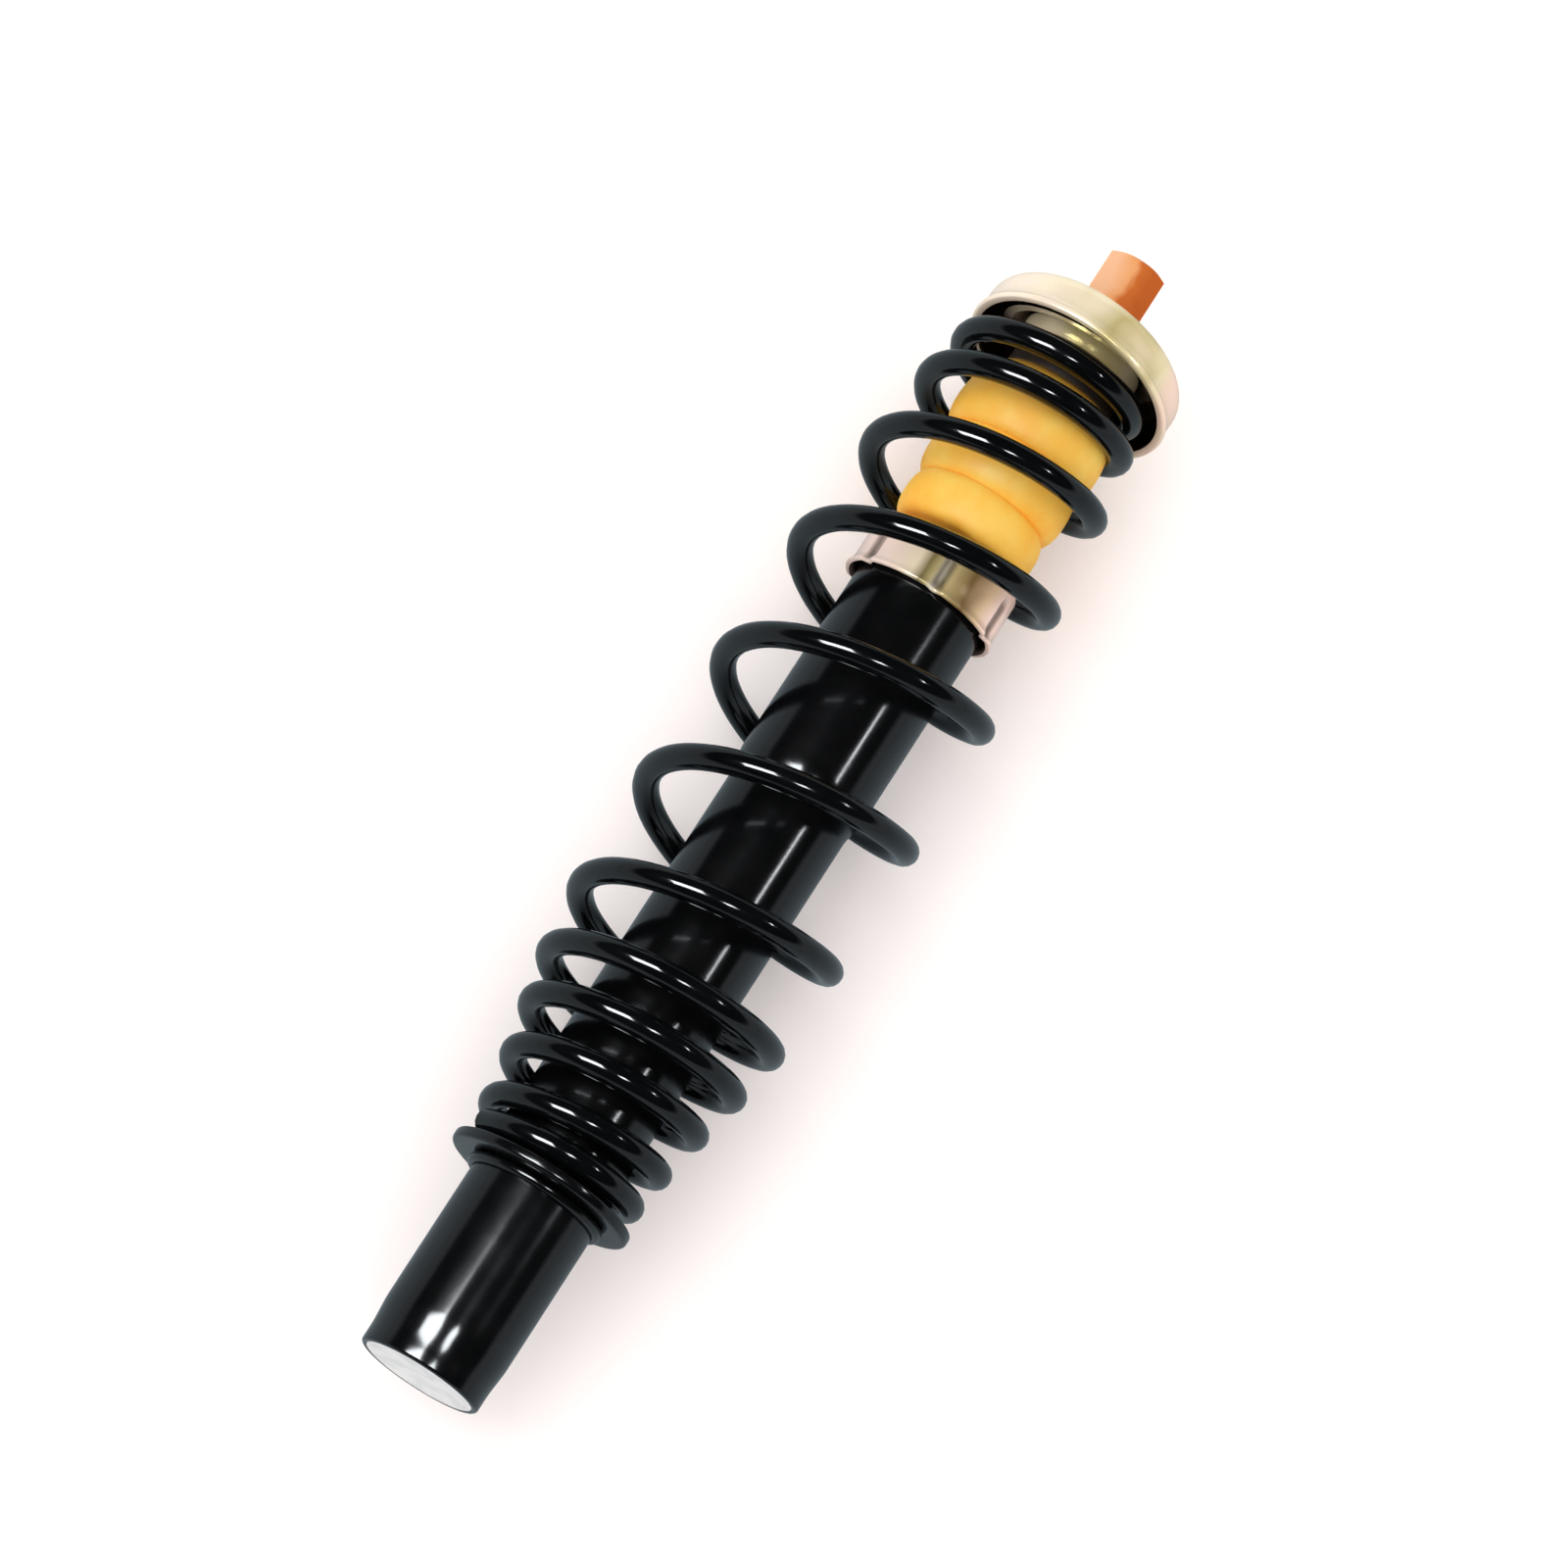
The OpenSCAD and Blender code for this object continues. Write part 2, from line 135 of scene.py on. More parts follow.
bpy.ops.object.camera_add(location=CAMERA_PLACE)
camera = bpy.context.object
camera.name = "studio_camera"
camera.data.lens = LENS_MM
camera.data.sensor_width = 36
camera.data.clip_end = 20
camera.rotation_euler = facing(CAMERA_PLACE, CAMERA_AIM)
camera.rotation_euler.rotate_axis("Z", CAMERA_ROLL)
bpy.context.scene.camera = camera
print("camera is", round((CAMERA_AIM - CAMERA_PLACE).length, 3), "m from the strut")

# %% [markdown]
# ## Node trees
# A finish is a tree of shader nodes. Making one by hand means adding a node, typing in its settings
# and pulling links. This helper does those three things for one node, so that each finish below
# reads as the list of its nodes.

# %% One helper for nodes


def add_node(tree, kind, inputs=None, **settings):
    """Adds one node. inputs maps a socket's name or number to a value or to another node's output."""
    made = tree.nodes.new(kind)
    for name, value in settings.items():
        setattr(made, name, value)
    for key, value in (inputs or {}).items():
        if isinstance(value, bpy.types.NodeSocket):
            tree.links.new(value, made.inputs[key])
        else:
            made.inputs[key].default_value = value
    return made


def new_finish(name):
    """An empty finish: the material, its tree, and the Object coordinates, in metres."""
    finish = bpy.data.materials.new(name)
    finish.use_nodes = True
    tree = finish.node_tree
    tree.nodes.clear()
    place = add_node(tree, "ShaderNodeTexCoord").outputs["Object"]
    return finish, tree, place


def close_finish(tree, shader):
    """Joins a shader to the tree's output."""
    add_node(tree, "ShaderNodeOutputMaterial", {"Surface": shader.outputs["BSDF"]})


def paint_stops(ramp, stops):
    """Gives a Color Ramp node its stops, as pairs of position and hex colour."""
    row = ramp.color_ramp.elements
    row[0].position = stops[0][0]
    row[-1].position = stops[-1][0]
    for position, _ in stops[1:-1]:
        row.new(position)
    for element, (_, code) in zip(row, stops):
        element.color = screen_colour(code)


# %% [markdown]
# ## Table and light
# The table is a plain white sheet, which ends up slightly over-lit, so it reads as a clean white
# ground. What makes black paint look wet is what it mirrors: a dark room overhead, three bright
# cards, and the table and walls low at the sides. Mirrored as white as it is, the table would turn
# the sides of the tube grey, so in reflections it is a dimmer grey-blue.

# %% Table
TABLE_GAP = mm(0.2)

bpy.ops.mesh.primitive_plane_add(size=12, location=(0.2, 0, cad_low.z - TABLE_GAP))
table = bpy.context.object
table.name = "studio_table"
sheet, tree, _ = new_finish("matt white table sheet")
ray = add_node(tree, "ShaderNodeLightPath").outputs["Is Glossy Ray"]
white = add_node(tree, "ShaderNodeMix", {
    0: ray, 6: screen_colour("#fbfafa"), 7: screen_colour("#8d9ea6")}, data_type="RGBA")
shade = add_node(tree, "ShaderNodeBsdfPrincipled", {
    "Base Color": white.outputs[2], "Roughness": 0.9, "Specular IOR Level": 0.2})
close_finish(tree, shade)
table.data.materials.append(sheet)

# %% [markdown]
# The room has two sides as well: it is bright for the light that it gives, and in reflections it is
# dark overhead, with pale walls that fade out just above the horizon.

# %% Room
ROOM_LIGHT = 1.3
OVERHEAD_DARK = 0.012
WALL_LIGHT = 0.55
HORIZON, FADE_BELOW, FADE_ABOVE = 0.25, 0.1, 0.06

room = bpy.data.worlds.new("studio_room")
bpy.context.scene.world = room
room.use_nodes = True
tree = room.node_tree
tree.nodes.clear()
direction = add_node(tree, "ShaderNodeTexCoord").outputs["Generated"]
height = add_node(tree, "ShaderNodeSeparateXYZ", {0: direction}).outputs["Z"]
walls = add_node(tree, "ShaderNodeMapRange", {
    "Value": height, "From Min": HORIZON - FADE_BELOW, "From Max": HORIZON + FADE_ABOVE,
    "To Min": WALL_LIGHT, "To Max": OVERHEAD_DARK}, interpolation_type="SMOOTHSTEP")
mirrored = add_node(tree, "ShaderNodeBackground", {
    "Color": screen_colour("#e3edf0"), "Strength": walls.outputs["Result"]})
lit = add_node(tree, "ShaderNodeBackground", {
    "Color": screen_colour("#fff7f5"), "Strength": ROOM_LIGHT})
ray = add_node(tree, "ShaderNodeLightPath").outputs["Is Glossy Ray"]
both = add_node(tree, "ShaderNodeMixShader", {0: ray, 1: lit.outputs[0], 2: mirrored.outputs[0]})
add_node(tree, "ShaderNodeOutputWorld", {"Surface": both.outputs[0]})

# %% [markdown]
# One wide lamp gives the table its soft shadow. It stays out of the reflections, which the cards
# make. The Standard view keeps the white of the table white.

# %% Lamp
MAIN_LAMP_PLACE = Vector((0.1, 0.9, 1.5))
MAIN_LAMP_SIZE, MAIN_LAMP_POWER = 1.6, 9
LIGHT_AIM = Vector((0.2, 0, 0))

bpy.ops.object.light_add(type="AREA", location=MAIN_LAMP_PLACE)
main_lamp = bpy.context.object
main_lamp.name = "main_lamp"
main_lamp.data.shape = "SQUARE"
main_lamp.data.size = MAIN_LAMP_SIZE
main_lamp.data.energy = MAIN_LAMP_POWER
main_lamp.data.color = screen_colour("#fffdfb")[:3]
main_lamp.rotation_euler = facing(MAIN_LAMP_PLACE, LIGHT_AIM)
main_lamp.visible_glossy = False
bpy.context.scene.view_settings.view_transform = "Standard"

# %% [markdown]
# A photographer shapes highlights with cards: bright sheets that only the reflections see. A wide
# card gives the long streak on each coil, a small one the short streak beside it, and a far, narrow
# one the fine line down the waist of the tube.

# %% Reflection cards


def reflection_card(name, place, along, across, strength):
    """A bright sheet over the table, seen only in reflections."""
    bpy.ops.mesh.primitive_plane_add(size=1, location=place)
    card = bpy.context.object
    card.name = name
    card.scale = (along, across, 1)
    card.rotation_euler = facing(place, LIGHT_AIM)
    glow, tree, _ = new_finish(name)
    light = add_node(tree, "ShaderNodeEmission", {
        "Color": screen_colour("#f6fbff"), "Strength": strength})
    add_node(tree, "ShaderNodeOutputMaterial", {"Surface": light.outputs[0]})
    card.data.materials.append(glow)
    card.visible_camera = card.visible_diffuse = card.visible_shadow = False
    return card


cards = [reflection_card("wide_card", (-0.03, 0.60, 1.22), 0.45, 0.64, 30),
         reflection_card("small_card", (0.02, -0.20, 1.22), 0.22, 0.17, 32),
         reflection_card("far_card", (0.64, -1.15, 1.22), 0.24, 0.06, 42)]
print("cards:", [card.name for card in cards])

# %% [markdown]
# ## Black paints
# The tube is stoved enamel: sprayed on turned steel and baked, it is near black with a soft gloss
# and a fine orange peel of about 1.5 mm. The spring is powder coated: a thicker skin that flows out
# to a wet gloss with a longer, shallower ripple of about 4 mm. Both hold a little dust.

# %% Black enamel and powder coat


def black_paint(name, colour, dusty, gloss, ripple, depth):
    """Gloss black coating: gloss is its roughness range, ripple the orange peel's length."""
    finish, tree, place = new_finish(name)
    cloud = add_node(tree, "ShaderNodeTexNoise", {
        "Vector": place, "Scale": 1 / mm(14), "Detail": 3.0, "Roughness": 0.6})
    tone = add_node(tree, "ShaderNodeValToRGB", {"Fac": cloud.outputs["Fac"]})
    paint_stops(tone, [(0.35, colour), (0.75, dusty)])
    sheen = add_node(tree, "ShaderNodeMapRange", {
        "Value": cloud.outputs["Fac"], "From Min": 0.3, "From Max": 0.7,
        "To Min": gloss[0], "To Max": gloss[1]})
    peel = add_node(tree, "ShaderNodeTexNoise", {
        "Vector": place, "Scale": 1 / ripple, "Detail": 1.0})
    speck = add_node(tree, "ShaderNodeTexVoronoi", {"Vector": place, "Scale": 1 / mm(5)})
    nib = add_node(tree, "ShaderNodeMapRange", {
        "Value": speck.outputs["Distance"], "From Min": 0.02, "From Max": 0.06,
        "To Min": 0.35, "To Max": 0.0})
    skin = add_node(tree, "ShaderNodeMath", {0: peel.outputs["Fac"], 1: nib.outputs["Result"]})
    bump = add_node(tree, "ShaderNodeBump", {
        "Height": skin.outputs[0], "Strength": 1.0, "Distance": depth})
    shader = add_node(tree, "ShaderNodeBsdfPrincipled", {
        "Base Color": tone.outputs["Color"], "Roughness": sheen.outputs["Result"],
        "Normal": bump.outputs["Normal"], "IOR": 1.5})
    close_finish(tree, shader)
    return finish


stoved_enamel = black_paint(
    "stoved black enamel", "#040506", "#08090b", (0.13, 0.17), mm(1.5), mm(0.0015))
powder_coat = black_paint(
    "gloss black powder coat", "#040506", "#07090a", (0.08, 0.12), mm(4), mm(0.006))
print("black paints:", stoved_enamel.name, powder_coat.name)

# %% [markdown]
# ## Zinc plating
# Pressed steel dipped in yellow chromate comes out pale gold, with clouds of pink and green a
# centimetre or two wide, because the film is thin enough to colour light by its thickness. Drawing
# marks from the press run round the piece under the film. Mixed into the clouds is painted light
# and shade that runs across each piece from the lit +Y side to the -Y side, and deep in a hollow
# the colour is a painted dark brown shade. The top nut had a stronger bath, which leaves it orange,
# with painted shade deepening it towards -Y, and the disc that closes the tube is plain silvery zinc.

# %% Zinc finishes
# Painted shade: where a point is deeply enclosed within this reach, the film colour turns dark brown.
HOLLOW_SHADE_COLOUR = "#22160c"
HOLLOW_SHADE_REACH = mm(45)
HOLLOW_SHADE_DEEP, HOLLOW_SHADE_NONE = 0.80, 0.99


def zinc_plating(name, stops, cloud_size, gloss, tint, painted_side_share, width):
    """Chromated zinc: a film that clouds, mixed by its share with painted light and shade from +Y to
    -Y.
    """
    finish, tree, place = new_finish(name)
    cloud = add_node(tree, "ShaderNodeTexNoise", {
        "Vector": place, "Scale": 1 / cloud_size, "Detail": 1.5, "Distortion": 0.4})
    side = add_node(tree, "ShaderNodeSeparateXYZ", {0: place}).outputs["Y"]
    # Painted light and shade across the piece: 0 on the lit +Y side, 1 on the -Y side.
    painted_side_light = add_node(tree, "ShaderNodeMapRange", {
        "Value": side, "From Min": width / 2, "From Max": -width / 2})
    # The film's own clouds, mixed with the painted side light and shade by its share.
    thickness = add_node(tree, "ShaderNodeMix", {
        "Factor": painted_side_share, "A": cloud.outputs["Fac"], "B": painted_side_light.outputs["Result"]})
    film = add_node(tree, "ShaderNodeValToRGB", {"Fac": thickness.outputs["Result"]})
    paint_stops(film, stops)
    # Painted shade in hollows: enclosed points get the dark brown colour, and open ones keep the film.
    hollow_occlusion = add_node(tree, "ShaderNodeAmbientOcclusion", {"Distance": HOLLOW_SHADE_REACH}, only_local=True)
    unshaded_share = add_node(tree, "ShaderNodeMapRange", {
        "Value": hollow_occlusion.outputs["AO"], "From Min": HOLLOW_SHADE_DEEP, "From Max": HOLLOW_SHADE_NONE})
    tone = add_node(tree, "ShaderNodeMix", {
        0: unshaded_share.outputs["Result"], 6: screen_colour(HOLLOW_SHADE_COLOUR),
        7: film.outputs["Color"]}, data_type="RGBA")
    stretched = add_node(tree, "ShaderNodeMapping", {
        "Vector": place, "Scale": (1.0, 0.08, 0.08)})
    grain = add_node(tree, "ShaderNodeTexNoise", {
        "Vector": stretched.outputs[0], "Scale": 1 / mm(0.8), "Detail": 1.0})
    sheen = add_node(tree, "ShaderNodeMapRange", {
        "Value": grain.outputs["Fac"], "From Min": 0.3, "From Max": 0.7,
        "To Min": gloss[0], "To Max": gloss[1]})
    bump = add_node(tree, "ShaderNodeBump", {
        "Height": grain.outputs["Fac"], "Strength": 0.3, "Distance": mm(0.0005)})
    shader = add_node(tree, "ShaderNodeBsdfPrincipled", {
        "Base Color": tone.outputs[2], "Metallic": 1.0 - tint,
        "Roughness": sheen.outputs["Result"], "Normal": bump.outputs["Normal"]})
    close_finish(tree, shader)
    return finish


# Half of this film's colour is painted light and shade, laid across the piece from +Y to -Y.
yellow_zinc = zinc_plating("yellow chromated zinc", [
    (0.26, "#fdeee0"), (0.42, "#f8eecd"), (0.56, "#cabd82"), (0.66, "#f0e3bb"), (0.76, "#fddfcb")],
    mm(26), (0.24, 0.27), tint=0.65, painted_side_share=0.5, width=mm(84))
# On the bump cap the stops lie mostly across it from +Y to -Y. The pale pink and cream are the zinc's
# own colour; the dark olive stripe and dark brown band are painted reflections, and the #fff9e4 line is
# a painted highlight.
cap_zinc_with_painted_reflections = zinc_plating("yellow chromated zinc with painted reflections", [
    (0.20, "#fbe6da"), (0.36, "#f5eacb"), (0.42, "#80764a"), (0.47, "#bdb17c"), (0.52, "#fff9e4"),
    (0.57, "#cbbb86"), (0.69, "#7d663c"), (0.79, "#dfc49d"), (0.88, "#fbe0d2")],
    mm(20), (0.20, 0.26), tint=0.85, painted_side_share=0.85, width=mm(56))
# On the nut, the pale peach of the +Y faces and the deep orange of the -Y faces are mostly painted
# light and shade.
orange_zinc = zinc_plating("orange chromated zinc", [
    (0.28, "#fbc69b"), (0.46, "#f3ad70"), (0.54, "#d9742b"), (0.72, "#c9641f")],
    mm(10), (0.28, 0.31), tint=0.7, painted_side_share=0.75, width=mm(22))
bright_zinc = zinc_plating("silvery zinc", [
    (0.35, "#e3e6e5"), (0.65, "#f4f5f4")], mm(8), (0.30, 0.36), tint=0.7, painted_side_share=0.0, width=mm(42))
print("zinc finishes:", yellow_zinc.name, cap_zinc_with_painted_reflections.name, orange_zinc.name, bright_zinc.name)

# %% [markdown]
# ## Urethane
# The bumper is microcellular urethane, moulded in one shot. It is a warm yellow that lets a little
# light in, so its folds glow orange where the light comes back out. Its skin is closed and satin,
# with faint flow clouds and cells of about 0.4 mm, drawn here at 0.8 mm so that they show. The neck,
# up in the hollow of the retainer, is painted dark brown as shade.

# %% Yellow urethane
# Heights in mm where the painted shade on the neck starts and where it is full.
NECK_SHADE_FOOT, NECK_SHADE_FULL = 413, 419

yellow_urethane, tree, place = new_finish("yellow microcellular urethane")
flow = add_node(tree, "ShaderNodeTexNoise", {
    "Vector": place, "Scale": 1 / mm(18), "Detail": 3.0, "Roughness": 0.55})
body = add_node(tree, "ShaderNodeValToRGB", {"Fac": flow.outputs["Fac"]})
paint_stops(body, [(0.32, "#feb237"), (0.52, "#ffbf48"), (0.72, "#ffcf60")])
along = add_node(tree, "ShaderNodeSeparateXYZ", {0: place}).outputs["X"]
# Painted shade: the neck, deep in the retainer, turns dark brown between these heights.
neck_shade_mask = add_node(tree, "ShaderNodeMapRange", {
    "Value": along, "From Min": mm(NECK_SHADE_FOOT), "From Max": mm(NECK_SHADE_FULL)},
    interpolation_type="SMOOTHSTEP")
urethane_with_painted_shade = add_node(tree, "ShaderNodeMix", {
    0: neck_shade_mask.outputs["Result"], 6: body.outputs["Color"],
    7: screen_colour("#2b1c0e")}, data_type="RGBA")
cells = add_node(tree, "ShaderNodeTexVoronoi", {"Vector": place, "Scale": 1 / mm(0.8)})
skin = add_node(tree, "ShaderNodeBump", {
    "Height": cells.outputs["Distance"], "Strength": 0.35, "Distance": mm(0.03)})
shader = add_node(tree, "ShaderNodeBsdfPrincipled", {
    "Base Color": urethane_with_painted_shade.outputs[2], "Roughness": 0.55, "Normal": skin.outputs["Normal"],
    "Subsurface Weight": 0.25, "Subsurface Scale": mm(4), "Subsurface Radius": (1.0, 0.45, 0.12),
    "Specular IOR Level": 0.3})
close_finish(tree, shader)
print("urethane:", yellow_urethane.name)

# %% [markdown]
# ## Finishes of the parts inside
# The damper's working parts are hidden in the tube, and they still carry the finish that they have
# in the real thing, because the model can be opened. Each is a metal or a rubber with the marks of
# its process: turning rings on the rod, pores in the sintered pieces, drawing lines on the cylinder.

# %% Machined and moulded finishes


def worked_metal(name, colours, gloss, size, stretch=(1.0, 1.0, 1.0), metallic=1.0):
    """A bare metal or moulding: two tones in a grain of the given size, stretched along its marks."""
    finish, tree, place = new_finish(name)
    turned_to = add_node(tree, "ShaderNodeMapping", {"Vector": place, "Scale": stretch})
    grain = add_node(tree, "ShaderNodeTexNoise", {
        "Vector": turned_to.outputs[0], "Scale": 1 / size, "Detail": 4.0, "Roughness": 0.6})
    tone = add_node(tree, "ShaderNodeValToRGB", {"Fac": grain.outputs["Fac"]})
    paint_stops(tone, [(0.35, colours[0]), (0.65, colours[1])])
    sheen = add_node(tree, "ShaderNodeMapRange", {
        "Value": grain.outputs["Fac"], "To Min": gloss[0], "To Max": gloss[1]})
    bump = add_node(tree, "ShaderNodeBump", {
        "Height": grain.outputs["Fac"], "Strength": 0.5, "Distance": mm(0.02)})
    shader = add_node(tree, "ShaderNodeBsdfPrincipled", {
        "Base Color": tone.outputs["Color"], "Metallic": metallic,
        "Roughness": sheen.outputs["Result"], "Normal": bump.outputs["Normal"]})
    close_finish(tree, shader)
    return finish


ROUND_THE_AXIS = (1.0, 0.05, 0.05)
ALONG_THE_AXIS = (0.05, 1.0, 1.0)
finishes = {
    "sintered iron": worked_metal(
        "sintered iron", ("#5d5e5d", "#8c8d8a"), (0.45, 0.7), mm(0.35)),
    "spring steel": worked_metal(
        "polished spring steel", ("#b4b7ba", "#d3d6d8"), (0.12, 0.25), mm(0.4), ALONG_THE_AXIS),
    "drawn steel": worked_metal(
        "cold drawn steel tube", ("#8d9195", "#b2b6b9"), (0.25, 0.4), mm(0.3), ALONG_THE_AXIS),
    "turned steel": worked_metal(
        "turned mild steel", ("#8f9294", "#bcbfc1"), (0.2, 0.4), mm(0.25), ROUND_THE_AXIS),
    "hard chrome": worked_metal(
        "ground hard chrome", ("#c4c8cb", "#d8dbdd"), (0.06, 0.14), mm(0.2), ROUND_THE_AXIS),
    "bronze": worked_metal(
        "bronze bearing lining", ("#8a6636", "#b88d52"), (0.3, 0.45), mm(0.5)),
    "ptfe": worked_metal(
        "bronze-filled fluoropolymer", ("#5b4a2e", "#77623f"), (0.4, 0.55), mm(0.3), metallic=0.2),
    "rubber": worked_metal(
        "nitrile rubber", ("#151516", "#222223"), (0.5, 0.7), mm(0.6), metallic=0.0),
}
inside_parts = {
    "sintered iron": ("rod_guide", "foot_valve_body", "piston"),
    "spring steel": ("foot_valve_discs", "intake_plate", "check_plate", "rebound_discs",
                     "seal_garter_spring"),
    "drawn steel": ("pressure_tube",),
    "turned steel": ("foot_valve_bolt", "foot_valve_nut", "check_stop_washer", "piston_nut",
                     "rebound_stop", "top_spacer"),
    "hard chrome": ("piston_rod",),
    "bronze": ("guide_bush",),
    "ptfe": ("piston_band",),
    "rubber": ("rod_seal", "rebound_cushion"),
}


def dress(part, finish):
    """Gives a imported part, which keeps its shape, one of the finishes above."""
    slots = frame["nodes"][part].data.materials
    slots.clear()
    slots.append(finish)


for kind, parts in inside_parts.items():
    for part in parts:
        dress(part, finishes[kind])
dress("bumper_cup", yellow_zinc)
print("parts inside with a finish:", sum(len(parts) for parts in inside_parts.values()))

# %% [markdown]
# ## Turning a part
# Most of the strut was made on a lathe, or spun or drawn round its own axis, and Spin is Blender's
# lathe. The section is drawn point by point: a plane is merged to one point, which is extruded along
# the outline. Then it is spun round the axis, its seam is merged, and its normals are turned
# outwards. A section that ends on the axis closes by itself.

# %% Lathe
STRUT_AXIS = Vector((1, 0, 0))
TOWARDS_LENS = Vector((0, 0, 1))


def only(thing):
    """Selects one object and makes it active."""
    if bpy.context.object and bpy.context.object.mode != "OBJECT":
        bpy.ops.object.mode_set(mode="OBJECT")
    bpy.ops.object.select_all(action="DESELECT")
    thing.select_set(True)
    bpy.context.view_layer.objects.active = thing


def arc(along, radius, bend, start, end, steps=6):
    """Points of a rounded corner: its centre, its bend radius and its angles in degrees."""
    turns = [math.radians(start + (end - start) * i / steps) for i in range(steps + 1)]
    return [(along + bend * math.sin(t), radius + bend * math.cos(t)) for t in turns]


def turned(name, section, steps=160, centre=Vector(), axis=STRUT_AXIS, start=TOWARDS_LENS):
    """Spins a section of (along, radius) points in mm, closed into a loop, round an axis."""
    out = (start - axis * start.dot(axis)).normalized()
    points = [centre + axis * mm(x) + out * mm(r) for x, r in section]
    bpy.ops.object.select_all(action="DESELECT")
    bpy.ops.mesh.primitive_plane_add(size=mm(1), location=(0, 0, 0))
    part = bpy.context.object
    part.name = part.data.name = name
    bpy.ops.object.mode_set(mode="EDIT")
    bpy.ops.mesh.select_mode(type="VERT")
    bpy.ops.mesh.select_all(action="SELECT")
    bpy.ops.mesh.merge(type="CENTER")
    bpy.ops.transform.translate(value=points[0])
    for here, after in zip(points, points[1:] + points[:1]):
        bpy.ops.mesh.extrude_region_move(TRANSFORM_OT_translate={"value": after - here})
    bpy.ops.mesh.select_all(action="SELECT")
    bpy.ops.mesh.remove_doubles(threshold=1e-6)
    bpy.ops.mesh.spin(steps=steps, angle=math.tau, center=centre, axis=axis)
    bpy.ops.mesh.select_all(action="SELECT")
    bpy.ops.mesh.remove_doubles(threshold=1e-6)
    bpy.ops.mesh.normals_make_consistent(inside=False)
    bpy.ops.object.mode_set(mode="OBJECT")
    return part


def finish_part(part, finish, body, slot, *stands_for, sharp=32):
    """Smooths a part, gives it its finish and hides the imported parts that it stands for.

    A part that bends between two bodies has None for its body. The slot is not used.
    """
    only(part)
    bpy.ops.object.shade_smooth_by_angle(angle=math.radians(sharp))
    part.data.materials.clear()
    part.data.materials.append(finish)
    if body:
        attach(part, body)
    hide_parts(*stands_for)
    part.data.calc_loop_triangles()
    print(part.name, "has", len(part.data.loop_triangles), "triangles")


# %% [markdown]
# ## The tube
# One length of steel tube makes the body: the lower end is the fat shank that the knuckle clamps,
# drawn in a little towards its closed end and rounded over there. Above the spring seat it is turned
# down a little, and near the top it swells again at the neck. Softening each step by a small arc is
# what catches the light there.

# %% Body tube
SHANK_R, WAIST_R, UPPER_R, BORE_R = 24.0, 23.25, 25.0, 21.5
END_R = 23.2
TAPER_FOOT, TAPER_LENGTH = 6, 13
TUBE_TOP = 344.0
SEAT_FOOT = 75.5
RING_ALONG = SEAT_FOOT - 2.0

tube_section = [(0.0, 21.3), (0.0, 21.8)] + arc(1.2, END_R - 1.2, 1.2, -90, 0)
tube_section += [(5.0, END_R), (6.0, END_R)]
for x in range(TAPER_FOOT + 1, TAPER_FOOT + TAPER_LENGTH + 1):
    tube_section.append((x, END_R + (SHANK_R - END_R) * ease((x - TAPER_FOOT) / TAPER_LENGTH)))
tube_section += [(22.0, SHANK_R), (46.0, SHANK_R), (70.9, SHANK_R)]
tube_section += arc(RING_ALONG, SHANK_R + 0.75, 2.05, -112, -248, 8)
tube_section += [(76.1, SHANK_R), (94.0, SHANK_R), (95.5, 23.93), (97.5, 23.4), (99.0, WAIST_R),
                 (140.0, WAIST_R), (190.0, WAIST_R), (236.0, WAIST_R), (238.6, 23.32),
                 (240.6, 23.65), (243.0, 24.12), (245.4, 24.6), (247.4, 24.92), (250.0, UPPER_R),
                 (296.0, UPPER_R), (340.0, UPPER_R)]
tube_section += arc(TUBE_TOP - 2, UPPER_R - 2, 2, 0, 90)
tube_section += [(TUBE_TOP, 13.0), (TUBE_TOP - 2, 13.0), (TUBE_TOP - 2, BORE_R), (7.0, BORE_R),
                 (6.0, 21.3)]
strut_tube = turned("strut_tube", tube_section, steps=180)
finish_part(strut_tube, stoved_enamel, "strut_body", "gloss_black_paint", "body_tube", sharp=50)

# %% [markdown]
# The disc that closes the tube is pressed in and welded round its edge. It is slightly dished, with
# a narrow flat at the rim, and the paint stops short of it.

# %% End disc
disc_section = [(0.9, 0.0), (0.86, 6.0), (0.75, 12.0), (0.55, 16.0), (0.3, 18.6), (0.1, 19.4)]
disc_section += [(0.0, 19.9), (0.0, 20.6), (0.12, 20.95), (0.45, 21.2), (6.0, 21.2), (6.0, 0.0)]
end_disc = turned("end_disc", disc_section, steps=128)
finish_part(end_disc, bright_zinc, "strut_body", "pale_zinc", "body_end_plug")

# %% [markdown]
# ## Spring seat and snap ring
# The spring stands on a flat ring with rounded edges. The ring is a turned part like the tube.

# %% Spring seat
SEAT_TOP = SEAT_FOOT + 4.0
SEAT_R = 35.0

seat_section = arc(SEAT_FOOT + 1.5, SEAT_R - 1.5, 1.5, -90, 0)
seat_section += arc(SEAT_TOP - 1, SEAT_R - 1, 1, 0, 90)
seat_section += [(SEAT_TOP, 30.0), (SEAT_TOP, 24.7), (SEAT_TOP - 0.6, 24.1),
                 (SEAT_FOOT + 0.6, 24.1), (SEAT_FOOT, 24.7), (SEAT_FOOT, 29.0)]
spring_seat = turned("spring_seat", seat_section, steps=144)
finish_part(spring_seat, stoved_enamel, "strut_body", "gloss_black_paint", "lower_spring_seat")

# %% [markdown]
# The seat rests on a round wire snap ring in a groove of the tube. The snap ring isn't closed: its
# gap is at the underside. So it is a circle that is spun almost all the way round, with both ends
# filled, and then turned by half the gap.

# %% Snap ring
SNAP_WIRE_R = 1.95
SNAP_RING_R = 24.8
SNAP_GAP = math.radians(20)

